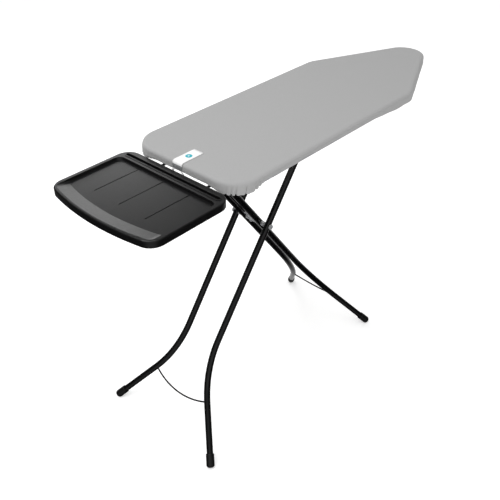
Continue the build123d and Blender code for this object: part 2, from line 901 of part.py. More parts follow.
# ---- tray for the steam station --------------------------------------------
def tray_plan(height, rear, side, front, corner):
    """Plan shape inside the tray's edges by rear, side and front set-ins, bowed in front."""
    rear_x = tail_x - tray_gap - rear
    half = tray_width / 2 - side
    front_x = tail_x - tray_reach + front
    shoulder_x = front_x + tray_front_bow
    with BuildSketch(Plane.XY.offset(height)) as plan:
        with BuildLine():
            Polyline(
                (shoulder_x, -half),
                (rear_x, -half),
                (rear_x, half),
                (shoulder_x, half),
            )
            ThreePointArc((shoulder_x, half), (front_x, 0), (shoulder_x, -half))
        make_face()
        fillet(plan.vertices(), radius=corner)
    return plan.sketch


tray_rear_x = tail_x - tray_gap
clamp_points = []
for place in clamp_places:
    for side in sides.values():
        clamp_points.append((tray_rear_x - place, side * rod_spacing / 2))
screw_points = []
for x, y in clamp_points:
    for side in sides.values():
        screw_points.append((x, y + side * clamp_screw_spacing / 2))

underside = well_z - tray_wall
with BuildPart() as tray:
    add(tray_plan(tray_bottom, 0, 0, 0, tray_corner))
    extrude(amount=tray_depth)
    fillet(tray.faces().sort_by(Axis.Z)[-1].edges(), radius=tray_edge_radius)
    add(tray_plan(tray_bottom, tray_wall, tray_wall, tray_wall, tray_corner - tray_wall))
    extrude(amount=underside - tray_bottom, mode=Mode.SUBTRACT)
    add(tray_plan(well_z, well_rear, well_side, well_lip, well_corner))
    add(tray_plan(tray_top, well_rear - well_draft, well_side - well_draft, lip_edge, well_corner))
    loft(mode=Mode.SUBTRACT)
    with BuildSketch(Plane.XY.offset(tray_top)):
        with Locations((tray_rear_x - channel_place, 0)):
            SlotOverall(
                channel_length + 2 * ridge_width, channel_width + 2 * ridge_width, rotation=90
            )
            SlotOverall(channel_length, channel_width, rotation=90, mode=Mode.SUBTRACT)
    extrude(amount=ridge_height)
    with BuildSketch(Plane.XY.offset(tray_top)):
        with Locations((tray_rear_x - channel_place, 0)):
            SlotOverall(channel_length, channel_width, rotation=90)
    extrude(amount=-channel_depth, mode=Mode.SUBTRACT)
    with BuildSketch(Plane.XY.offset(well_z)):
        with Locations((tray_rear_x - groove_centre, 0)):
            with GridLocations(0, groove_pitch, 1, 3):
                SlotOverall(groove_length, groove_width)
    extrude(amount=-groove_depth, mode=Mode.SUBTRACT)
    with BuildSketch(Plane.XY.offset(clamp_z)):
        with Locations(*clamp_points):
            Rectangle(clamp_length, clamp_width)
    extrude(amount=underside - clamp_z)
    with BuildSketch(Plane.XY.offset(clamp_z)):
        with Locations(*screw_points):
            Circle(screw_diameter / 2)
    extrude(amount=underside - clamp_z - screw_roof, mode=Mode.SUBTRACT)
    notch_half = rod_diameter / 2 + rod_notch_gap
    with BuildSketch(Plane.YZ.offset(tray_rear_x)):
        with Locations((-rod_spacing / 2, rod_z), (rod_spacing / 2, rod_z)):
            Circle(notch_half)
            Rectangle(2 * notch_half, tray_depth, align=(Align.CENTER, Align.MAX))
    extrude(amount=-2 * tray_wall, mode=Mode.SUBTRACT)
save(tray, "tray")

rod_front = tail_x - tray_reach + rod_front_gap
rod_rear = hinge_x + cross_bar_width
with BuildPart() as tray_rod:
    with BuildSketch(Plane.YZ.offset(rod_front)):
        with Locations((rod_spacing / 2, rod_z)):
            Circle(rod_diameter / 2)
    extrude(amount=rod_rear - rod_front)
    fillet(tray_rod.edges().filter_by(GeomType.CIRCLE), radius=rod_round)
save_pair(tray_rod, "tray_rod")

rod_bore = rod_diameter / 2 + seat_clearance
with BuildPart() as rod_clamps:
    with Locations(*[(x, y, clamp_z) for x, y in clamp_points]):
        Box(
            clamp_length,
            clamp_width,
            rod_diameter + clamp_floor,
            align=(Align.CENTER, Align.CENTER, Align.MAX),
        )
    with BuildSketch(Plane.YZ.offset(rod_front)):
        with Locations((-rod_spacing / 2, rod_z), (rod_spacing / 2, rod_z)):
            Circle(rod_bore)
    extrude(amount=rod_rear - rod_front, mode=Mode.SUBTRACT)
    with BuildSketch(Plane.XY.offset(clamp_z)):
        with Locations(*screw_points):
            Circle(screw_diameter / 2 + seat_clearance)
    extrude(amount=-rod_diameter - clamp_floor, mode=Mode.SUBTRACT)
save(rod_clamps, "rod_clamps")

head_top = clamp_z - rod_diameter - clamp_floor
with BuildPart() as tray_screws:
    with BuildSketch(Plane.XY.offset(head_top)):
        with Locations(*screw_points):
            Circle(screw_head / 2)
    extrude(amount=-screw_head_height)
    with BuildSketch(Plane.XY.offset(head_top)):
        with Locations(*screw_points):
            Circle(screw_diameter / 2)
    extrude(amount=underside - head_top - 2 * screw_roof)
save(tray_screws, "tray_screws")

with BuildPart() as rod_clips:
    clip_bottom = rod_z - rod_diameter / 2 - clip_floor
    for place in (bar_places["cross_bar_tail"], bar_places["cross_bar_hinge"]):
        for side in sides.values():
            with Locations((tail_x + place, side * rod_spacing / 2, clip_bottom)):
                Box(
                    clamp_length,
                    2 * clip_half,
                    bar_bottom - clip_bottom,
                    align=(Align.CENTER, Align.CENTER, Align.MIN),
                )
    with BuildSketch(Plane.YZ.offset(rod_front)):
        with Locations((-rod_spacing / 2, rod_z), (rod_spacing / 2, rod_z)):
            Circle(rod_bore)
    extrude(amount=2 * (rod_rear - rod_front), mode=Mode.SUBTRACT)
save(rod_clips, "rod_clips")
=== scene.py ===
"""Looks of a folding ironing board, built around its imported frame.

Metres, in the frame's own axes: +X runs from the tray to the pointed nose, +Y is the left
side and +Z is up.  The steel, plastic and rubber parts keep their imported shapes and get
their finishes here.  The cover, the felt pad and the woven label are made here.
"""

import json
import logging
from dataclasses import dataclass, field
from enum import Enum
from math import ceil, cos, pi, radians, sin, tan

import bmesh
import bpy
from mathutils import Matrix, Vector, noise
from mathutils.kdtree import KDTree


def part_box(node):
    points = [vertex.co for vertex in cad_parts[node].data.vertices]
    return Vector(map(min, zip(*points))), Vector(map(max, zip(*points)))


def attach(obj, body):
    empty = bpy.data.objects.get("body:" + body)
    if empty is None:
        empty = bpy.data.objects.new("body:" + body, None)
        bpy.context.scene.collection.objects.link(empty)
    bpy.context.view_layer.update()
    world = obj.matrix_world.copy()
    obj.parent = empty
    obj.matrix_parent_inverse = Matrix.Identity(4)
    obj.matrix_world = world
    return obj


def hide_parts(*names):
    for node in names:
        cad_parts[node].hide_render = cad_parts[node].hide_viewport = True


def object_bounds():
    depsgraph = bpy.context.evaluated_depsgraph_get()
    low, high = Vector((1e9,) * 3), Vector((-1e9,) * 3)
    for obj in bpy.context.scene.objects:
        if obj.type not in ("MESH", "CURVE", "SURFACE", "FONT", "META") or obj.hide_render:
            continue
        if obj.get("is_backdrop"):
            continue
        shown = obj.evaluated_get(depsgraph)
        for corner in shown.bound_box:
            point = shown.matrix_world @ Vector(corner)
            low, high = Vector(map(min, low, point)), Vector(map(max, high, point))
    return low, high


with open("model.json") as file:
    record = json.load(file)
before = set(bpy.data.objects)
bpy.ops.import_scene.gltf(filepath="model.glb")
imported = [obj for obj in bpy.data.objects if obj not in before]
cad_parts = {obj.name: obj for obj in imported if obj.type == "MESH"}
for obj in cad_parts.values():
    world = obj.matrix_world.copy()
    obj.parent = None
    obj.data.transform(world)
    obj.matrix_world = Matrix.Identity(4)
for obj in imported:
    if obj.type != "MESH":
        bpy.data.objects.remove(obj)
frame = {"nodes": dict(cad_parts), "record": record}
log = logging.getLogger("ironing_board")

Triple = tuple[float, float, float]
Color = Triple
Range = tuple[float, float]
WHITE = (1.0, 1.0, 1.0, 1.0)


class Weave(Enum):
    """How the threads of a cloth cross: its two band pitches in metres."""

    PLAIN = (0.0011, 0.0011)
    TAPE = (0.0008, 0.0014)
    TWILL = (0.0016, 0.0022)


# ---- finishes -----------------------------------------------------------------------
TEXTURE_LOW = 0.3
TEXTURE_HIGH = 0.7


class Shader:
    """A material under construction: its nodes, its links and its Principled shader."""

    def __init__(self, name: str, color: Color, roughness: float) -> None:
        """Starts a material with one Principled shader.

        Args:
            name: The material's name.
            color: Base colour, linear.
            roughness: Roughness of the shader, from 0 to 1.
        """
        self.material = bpy.data.materials.new(name)
        self.material.use_nodes = True
        self.material.diffuse_color = (*color, 1.0)
        self.nodes = self.material.node_tree.nodes
        self.links = self.material.node_tree.links
        self.shader = self.nodes["Principled BSDF"]
        self.put("Base Color", (*color, 1.0))
        self.put("Roughness", roughness)
        self.place = self.nodes.new("ShaderNodeTexCoord").outputs["Object"]
        self.height = None

    def put(self, socket: str, value: float | tuple) -> None:
        """Sets one of the shader's own sockets."""
        self.shader.inputs[socket].default_value = value

    def noise(self, scale: float, detail: float = 3.0, stretch: Triple = (1, 1, 1)) -> object:
        """Adds a noise texture on the piece's own coordinates.

        Args:
            scale: Grains per metre.
            detail: Octaves of the noise.
            stretch: Scale along each axis.

        Returns:
            The texture's value output.
        """
        mapping = self.nodes.new("ShaderNodeMapping")
        mapping.inputs["Scale"].default_value = stretch
        self.links.new(self.place, mapping.inputs["Vector"])
        texture = self.nodes.new("ShaderNodeTexNoise")
        texture.inputs["Scale"].default_value = scale
        texture.inputs["Detail"].default_value = detail
        self.links.new(mapping.outputs["Vector"], texture.inputs["Vector"])
        return texture.outputs["Fac"]

    def bands(self, pitch: float, axis: str) -> object:
        """Adds parallel bands across an axis.

        Args:
            pitch: Distance from one band to the next.
            axis: Axis that the bands cross, "X" or "Y".

        Returns:
            The texture's value output.
        """
        texture = self.nodes.new("ShaderNodeTexWave")
        texture.bands_direction = axis
        texture.inputs["Scale"].default_value = 2 * pi / (20 * pitch)
        texture.inputs["Distortion"].default_value = 0.35
        texture.inputs["Detail"].default_value = 1.0
        self.links.new(self.place, texture.inputs["Vector"])
        return texture.outputs["Fac"]

    def span(self, value: object, low: float, high: float) -> object:
        """Maps a texture's middle values to a range.

        Args:
            value: Output to map, from 0 to 1.
            low: Result at the low end of the texture's usual values.
            high: Result at their high end.

        Returns:
            The mapped output.
        """
        node = self.nodes.new("ShaderNodeMapRange")
        node.inputs["From Min"].default_value = TEXTURE_LOW
        node.inputs["From Max"].default_value = TEXTURE_HIGH
        node.inputs["To Min"].default_value = low
        node.inputs["To Max"].default_value = high
        self.links.new(value, node.inputs["Value"])
        return node.outputs["Result"]

    def tint(self, value: object, dark: Color, light: Color) -> None:
        """Colours the surface between two colours.

        Args:
            value: Output that chooses the colour, from 0 to 1.
            dark: Colour where the output is low.
            light: Colour where the output is high.
        """
        ramp = self.nodes.new("ShaderNodeValToRGB")
        first, last = ramp.color_ramp.elements
        first.position = TEXTURE_LOW
        first.color = (*dark, 1.0)
        last.position = TEXTURE_HIGH
        last.color = (*light, 1.0)
        self.links.new(value, ramp.inputs["Fac"])
        self.links.new(ramp.outputs["Color"], self.shader.inputs["Base Color"])

    def vary_roughness(self, value: object, low: float, high: float) -> None:
        """Lets a texture drive the roughness between two values."""
        self.links.new(self.span(value, low, high), self.shader.inputs["Roughness"])

    def raise_by(self, value: object, distance: float, strength: float = 1.0) -> None:
        """Adds a texture to the surface's relief.

        Args:
            value: Output that gives the height, from 0 to 1.
            distance: Height of a full step in metres.
            strength: Share of the relief that shows.
        """
        bump = self.nodes.new("ShaderNodeBump")
        bump.inputs["Distance"].default_value = distance
        bump.inputs["Strength"].default_value = strength
        self.links.new(value, bump.inputs["Height"])
        if self.height is not None:
            self.links.new(self.height, bump.inputs["Normal"])
        self.height = bump.outputs["Normal"]
        self.links.new(self.height, self.shader.inputs["Normal"])


def shade(color: Color, share: float) -> Color:
    """A colour made lighter or darker by a share of itself."""
    return tuple(min(1.0, c * share) for c in color)


@dataclass(frozen=True)
class Cloth:
    """Woven fabric with crossing threads, loose fibres and soft sheen."""

    name: str
    color: Color
    weave: Weave
    sheen: float = 0.1
    contrast: float = 0.05

    def material(self) -> bpy.types.Material:
        """Mixes the fabric's colours, gloss and relief.

        Returns:
            The finished material.
        """
        made = Shader(self.name, self.color, 0.85)
        across, along = self.weave.value
        made.put("Sheen Weight", self.sheen)
        made.put("Sheen Roughness", 0.5)
        made.put("Specular IOR Level", 0.25)
        fibres = made.noise(700.0, 4.0)
        dark = shade(self.color, 1 - self.contrast)
        light = shade(self.color, 1 + self.contrast)
        made.tint(fibres, dark, light)
        made.vary_roughness(made.noise(260.0), 0.78, 0.92)
        made.raise_by(made.bands(across, "X"), 0.00012, 0.5)
        made.raise_by(made.bands(along, "Y"), 0.00012, 0.5)
        made.raise_by(made.noise(38.0, 2.0), 0.0008, 0.12)
        return made.material


@dataclass(frozen=True)
class Felt:
    """Needled felt: matted fibres with no weave."""

    name: str
    color: Color

    def material(self) -> bpy.types.Material:
        """Mixes the felt's colours, gloss and relief.

        Returns:
            The finished material.
        """
        made = Shader(self.name, self.color, 0.95)
        made.put("Sheen Weight", 0.3)
        made.put("Specular IOR Level", 0.1)
        matted = made.noise(900.0, 6.0, (1.0, 0.4, 1.0))
        made.tint(matted, shade(self.color, 0.82), shade(self.color, 1.08))
        made.raise_by(matted, 0.0006, 0.6)
        return made.material


@dataclass(frozen=True)
class Coat:
    """Powder coat on steel: orange peel, a little dust and a soft gloss."""

    name: str
    color: Color
    roughness: float
    peel: float = 0.3
    specular: float = 0.5

    def material(self) -> bpy.types.Material:
        """Mixes the coat's colours, gloss and relief.

        Returns:
            The finished material.
        """
        made = Shader(self.name, self.color, self.roughness)
        made.put("Specular IOR Level", self.specular)
        dust = made.noise(34.0, 5.0)
        made.tint(dust, shade(self.color, 0.9), shade(self.color, 1.18))
        made.vary_roughness(made.noise(90.0), self.roughness * 0.88, self.roughness * 1.15)
        made.raise_by(made.noise(850.0, 2.0), 0.00006, self.peel)
        return made.material


@dataclass(frozen=True)
class Plated:
    """Zinc plate on turned or stamped steel, with fine tool lines and dulled patches."""

    name: str
    color: Color
    roughness: float

    def material(self) -> bpy.types.Material:
        """Mixes the plate's colours, gloss and relief.

        Returns:
            The finished material.
        """
        made = Shader(self.name, self.color, self.roughness)
        made.put("Metallic", 0.6)
        lines = made.noise(420.0, 3.0, (1.0, 6.0, 1.0))
        made.tint(made.noise(120.0), shade(self.color, 0.85), shade(self.color, 1.1))
        made.vary_roughness(lines, self.roughness * 0.75, self.roughness * 1.4)
        made.raise_by(lines, 0.00003, 0.35)
        return made.material


@dataclass(frozen=True)
class Moulded:
    """Moulded plastic or rubber with a fine spark-eroded grain."""

    name: str
    color: Color
    roughness: float
    grain: float = 0.35
    grain_scale: float = 1500.0
    specular: float = 0.5

    def material(self) -> bpy.types.Material:
        """Mixes the moulding's colours, gloss and relief.

        Returns:
            The finished material.
        """
        made = Shader(self.name, self.color, self.roughness)
        made.put("Specular IOR Level", self.specular)
        made.tint(made.noise(45.0, 4.0), shade(self.color, 0.9), shade(self.color, 1.15))
        made.vary_roughness(made.noise(140.0, 4.0), self.roughness * 0.9, self.roughness * 1.1)
        made.raise_by(made.noise(self.grain_scale, 2.0), 0.00003, self.grain)
        return made.material


FINISHES = {
    "cover_fabric": Cloth("cover_cotton", (0.375, 0.375, 0.375), Weave.PLAIN),
    "pad_foam": Felt("needle_felt", (0.62, 0.60, 0.55)),
    "label_fabric": Cloth("label_tape", (0.86, 0.86, 0.86), Weave.TAPE, 0.05, 0.02),
    "grey_mesh": Coat("mesh_coat", (0.40, 0.41, 0.42), 0.42),
    "grey_frame": Coat("frame_coat", (0.34, 0.35, 0.36), 0.38),
    "black_paint": Coat("leg_coat", (0.0018, 0.0018, 0.0020), 0.17, 0.2, 0.5),
    "wire_steel": Coat("wire_coat", (0.002, 0.002, 0.0022), 0.35, 0.2, 0.2),
    "zinc": Plated("zinc_plate", (0.66, 0.67, 0.69), 0.24),
    "black_plastic": Moulded("fitting_plastic", (0.012, 0.012, 0.013), 0.42),
    "nylon": Moulded("natural_nylon", (0.66, 0.66, 0.62), 0.4, 0.15),
    "tray_plastic": Moulded("tray_plastic", (0.0035, 0.0035, 0.0037), 0.32, 0.15, 700.0),
    "rubber": Moulded("foot_rubber", (0.004, 0.004, 0.004), 0.42, 0.5, 900.0, 0.4),
}


# ---- mesh helpers -------------------------------------------------------------------
def finished(bm: bmesh.types.BMesh, name: str, finish: bpy.types.Material) -> bpy.types.Object:
    """Turns a bmesh into a smooth-shaded piece at the origin.

    Args:
        bm: The mesh, in place. It is freed.
        name: The piece's name.
        finish: Its material.

    Returns:
        The new object, linked to the scene.
    """
    mesh = bpy.data.meshes.new(name)
    bm.to_mesh(mesh)
    bm.free()
    mesh.shade_smooth()
    piece = bpy.data.objects.new(name, mesh)
    piece.data.materials.append(finish)
    bpy.context.scene.collection.objects.link(piece)
    return piece


def points(made: list) -> list[bmesh.types.BMVert]:
    """The vertices among the things that an operator returned."""
    return [part for part in made if isinstance(part, bmesh.types.BMVert)]


def lines(made: list) -> list[bmesh.types.BMEdge]:
    """The edges among the things that an operator returned."""
    return [part for part in made if isinstance(part, bmesh.types.BMEdge)]


def round_over(
    bm: bmesh.types.BMesh, face: object, radius: float, steps: int, rise: float = 1.0
) -> None:
    """Rounds a flat end's edge by insets that rise along a quarter circle.

    Args:
        bm: The mesh.
        face: The end's face, which stays the innermost one.
        radius: Radius of the rounding.
        steps: Rings in it.
        rise: Share of the radius that the rounding is high.
    """
    for step in range(steps):
        before = pi / 2 * step / steps
        after = pi / 2 * (step + 1) / steps
        bmesh.ops.inset_region(
            bm,
            faces=[face],
            thickness=radius * (cos(before) - cos(after)),
            depth=radius * (sin(after) - sin(before)) * rise,
            use_even_offset=True,
        )


def smooth_step(low: float, high: float, value: float) -> float:
    """Rises smoothly from 0 at low to 1 at high; low may be the larger one."""
    share = max(0.0, min(1.0, (value - low) / (high - low)))
    return share * share * (3 - 2 * share)


@dataclass
class Outline:
    """Plan shape of the board: square end, parallel sides and a rounded taper."""

    tail_x: float
    length: float
    width: float
    tail_radius: float = 0.090
    taper_start: float = 0.875
    taper_angle: float = radians(25.0)
    shoulder_radius: float = 0.090

    def arcs(self, inset: float) -> list[tuple[Vector, float, float, float]]:
        """The outline's rounded stretches, counter-clockwise from the right tail corner.

        Args:
            inset: Distance that the outline is moved in.

        Returns:
            For each arc its centre, radius, first angle and sweep.
        """
        half = self.width / 2
        slope = self.taper_angle
        apex = self.taper_start + half / tan(slope)
        tip = (apex - self.length) / (1 / sin(slope) - 1)
        shoulder_x = self.tail_x + self.taper_start - self.shoulder_radius * tan(slope / 2)
        tail_centre = self.tail_x + self.tail_radius
        tip_x = self.tail_x + self.length - tip
        tail_y = half - self.tail_radius
        shoulder_y = half - self.shoulder_radius
        turn = pi / 2
        return [
            (Vector((tail_centre, -tail_y, 0)), self.tail_radius - inset, pi, turn),
            (Vector((shoulder_x, -shoulder_y, 0)), self.shoulder_radius - inset, -turn, slope),
            (Vector((tip_x, 0, 0)), tip - inset, slope - turn, pi - 2 * slope),
            (Vector((shoulder_x, shoulder_y, 0)), self.shoulder_radius - inset, turn - slope, slope),
            (Vector((tail_centre, tail_y, 0)), self.tail_radius - inset, turn, turn),
        ]

    def face(self, bm: bmesh.types.BMesh, height: float, inset: float, step: float) -> object:
        """Draws the outline as one flat face that looks up.

        Args:
            bm: Mesh to draw in.
            height: Its height.
            inset: Distance that it is moved in.
            step: Length of its edges.

        Returns:
            The new face.
        """
        first_ends = []
        last_ends = []
        for centre, radius, start, sweep in self.arcs(inset):
            place = Vector((cos(start) * radius, sin(start) * radius, height)) + centre
            first = bm.verts.new(place)
            steps = max(3, ceil(radius * sweep / step))
            spun = bmesh.ops.spin(
                bm,
                geom=[first],
                cent=centre,
                axis=(0, 0, 1),
                angle=sweep,
                steps=steps,
                use_duplicate=False,
            )
            first_ends.append(first)
            last_ends.append(points(spun["geom_last"])[0])
        straights = []
        for index, last in enumerate(last_ends):
            straights.append(bm.edges.new((last, first_ends[(index + 1) % len(first_ends)])))
        for edge in straights:
            cuts = max(1, round(edge.calc_length() / step) - 1)
            bmesh.ops.subdivide_edges(bm, edges=[edge], cuts=cuts)
        made = bmesh.ops.contextual_create(bm, geom=list(bm.edges))["faces"][0]
        made.normal_update()
        if made.normal.z < 0:
            made.normal_flip()
        return made


# ---- soft top -----------------------------------------------------------------------
@dataclass
class Cover:
    """Cotton cover drawn over the pad and gathered under the rim."""

    outline: Outline
    top: float
    hem: float
    finish: bpy.types.Material
    edge_radius: float = 0.011
    edge_rings: int = 6
    crown_rings: Triple = (0.004, 0.008, 0.012)
    wall_cuts: int = 3
    turn_radius: float = 0.005
    turn_rings: int = 3
    hem_width: float = 0.018
    hem_rings: int = 3
    edge_step: float = 0.0022
    cloth: float = 0.0009
    fold_pitch: float = 0.0145
    corner_gather: float = 0.0060
    nose_gather: float = 0.0016
    side_gather: float = 0.0004
    slack: float = 0.0013
    droop: float = 0.008
    nose_droop: float = 0.007
    side_tuck: float = 0.0040
    side_lean: float = 0.0015
    slant: float = 0.25
    hem_lift: float = 1.1
    corner_length: Range = (0.13, 0.05)
    corner_width: Range = (0.10, 0.18)
    loose_nose: Range = (0.84, 0.95)
    hanging_nose: Range = (0.65, 0.82)
    tight_from: Range = (0.04, 0.12)
    tight_to: Range = (0.80, 0.65)
    pull_depth: Range = (0.003, 0.022)

    def build(self) -> bpy.types.Object:
        """Builds the cover as one sheet with its gathers.

        Returns:
            The cover's object.
        """
        bm = bmesh.new()
        low = self.hem + self.turn_radius
        high = self.top - self.edge_radius
        face = self.outline.face(bm, low, 0.0, self.edge_step)
        rim = [v.co.copy() for v in face.verts]
        grown = bmesh.ops.extrude_face_region(bm, geom=[face], use_keep_orig=True)["geom"]
        lifted = points(grown)
        bmesh.ops.translate(bm, verts=lifted, vec=(0, 0, high - low))
        upright = self.turn_radius / 2
        walls = [e for e in bm.edges if abs(e.verts[0].co.z - e.verts[1].co.z) > upright]
        bmesh.ops.subdivide_edges(bm, edges=walls, cuts=self.wall_cuts)
        bmesh.ops.recalc_face_normals(bm, faces=bm.faces)
        crown = max(bm.faces, key=lambda f: f.calc_center_median().z)
        round_over(bm, crown, self.edge_radius, self.edge_rings)
        for reach in self.crown_rings:
            bmesh.ops.inset_region(bm, faces=[crown], thickness=reach, use_even_offset=True)
        under = min(bm.faces, key=lambda f: f.calc_center_median().z)
        round_over(bm, under, self.turn_radius, self.turn_rings)
        for _ in range(self.hem_rings):
            reach = (self.hem_width - self.turn_radius) / self.hem_rings
            bmesh.ops.inset_region(bm, faces=[under], thickness=reach, use_even_offset=True)
        bmesh.ops.delete(bm, geom=[under], context="FACES_ONLY")
        self.gather(bm, rim)
        cover = finished(bm, "gathered_cover", self.finish)
        wall = cover.modifiers.new("cloth", "SOLIDIFY")
        wall.thickness = self.cloth
        wall.offset = -1.0
        return cover

    def corner(self, place: Vector) -> float:
        """How near a place on the rim is to a corner of the square end.

        Args:
            place: A place on the rim.

        Returns:
            A share from 0, away from the corners, to 1.
        """
        from_tail = place.x - self.outline.tail_x
        across = smooth_step(*self.corner_width, abs(place.y))
        return smooth_step(*self.corner_length, from_tail) * across

    def looseness(self, place: Vector) -> float:
        """Depth of the gathers, which are deepest at the square end's corners.

        Args:
            place: A place on the rim.

        Returns:
            How far the gathers reach there, in metres.
        """
        from_tail = place.x - self.outline.tail_x
        nose = smooth_step(*self.loose_nose, from_tail)
        nose += (self.corner_gather / self.nose_gather) * self.corner(place)
        return self.side_gather + self.nose_gather * nose

    def crease(self, along: float) -> float:
        """Shape of the gathers along the hem: full folds between sharp creases.

        Args:
            along: Distance along the rim.

        Returns:
            The fold, from about -1 in a crease to 0.5 on a fold.
        """
        drift = 1.6 * noise.noise(Vector((along * 17, 1.7, 0)))
        fold = abs(sin(pi * along / self.fold_pitch + drift))
        size = 0.5 + 1.3 * noise.noise(Vector((along * 37, 6.3, 0)))
        return 0.4 - 1.7 * max(0.05, size) * (1 - fold) ** 2

    def gather(self, bm: bmesh.types.BMesh, rim: list[Vector]) -> None:
        """Creases the cloth's side and hem, square to the rim, and lets the corners hang.

        Args:
            bm: The cover's mesh.
            rim: Points of its widest ring, in order.
        """
        tree = KDTree(len(rim))
        along = [0.0]
        for index, place in enumerate(rim):
            tree.insert(place, index)
            along.append(along[-1] + (rim[(index + 1) % len(rim)] - place).length)
        tree.balance()
        for vert in bm.verts:
            place = vert.co.copy()
            near, index, away = tree.find(Vector((place.x, place.y, rim[0].z)))
            on_top = place.z > self.top - self.edge_radius
            if on_top and away > self.edge_radius:
                continue
            ahead = rim[(index + 1) % len(rim)] - rim[index - 1]
            outward = Vector((ahead.y, -ahead.x, 0)).normalized()
            at = along[index]
            from_tail = near.x - self.outline.tail_x
            middle = smooth_step(*self.tight_from, from_tail)
            middle *= smooth_step(*self.tight_to, from_tail)
            nose = smooth_step(*self.hanging_nose, from_tail)
            pull = smooth_step(*self.pull_depth, self.top - place.z)
            fold = self.crease(at + self.slant * (self.top - place.z))
            slack = noise.noise(Vector((at * 14, place.z * 160, 3.1)))
            depth = self.looseness(near)
            corner = self.corner(near)
            vert.co += outward * pull * (depth * fold + self.slack * slack)
            vert.co.z -= pull * (self.hem_lift * depth * fold + self.slack * slack)
            sag = self.droop * corner + self.nose_droop * nose - self.side_tuck * middle
            vert.co.z -= pull * pull * sag
            vert.co -= outward * self.side_lean * pull * pull * middle


@dataclass
class Pad:
    """Felt pad between the cover and the steel deck, with softly crowned edges."""

    outline: Outline
    low: float
    high: float
    finish: bpy.types.Material
    inset: float = 0.0018
    crown: float = 0.97
    edge_radius: float = 0.0085
    edge_rings: int = 4
    step: float = 0.012

    def build(self) -> bpy.types.Object:
        """Builds the pad as one closed cushion.

        Returns:
            The pad's object.
        """
        bm = bmesh.new()
        face = self.outline.face(bm, self.low, self.inset, self.step)
        grown = bmesh.ops.extrude_face_region(bm, geom=[face], use_keep_orig=True)["geom"]
        lifted = points(grown)
        rise = self.high - self.low - self.edge_radius * self.crown
        bmesh.ops.translate(bm, verts=lifted, vec=(0, 0, rise))
        bmesh.ops.recalc_face_normals(bm, faces=bm.faces)
        crown = max(bm.faces, key=lambda f: f.calc_center_median().z)
        round_over(bm, crown, self.edge_radius, self.edge_rings, self.crown)
        return finished(bm, "felt_pad", self.finish)


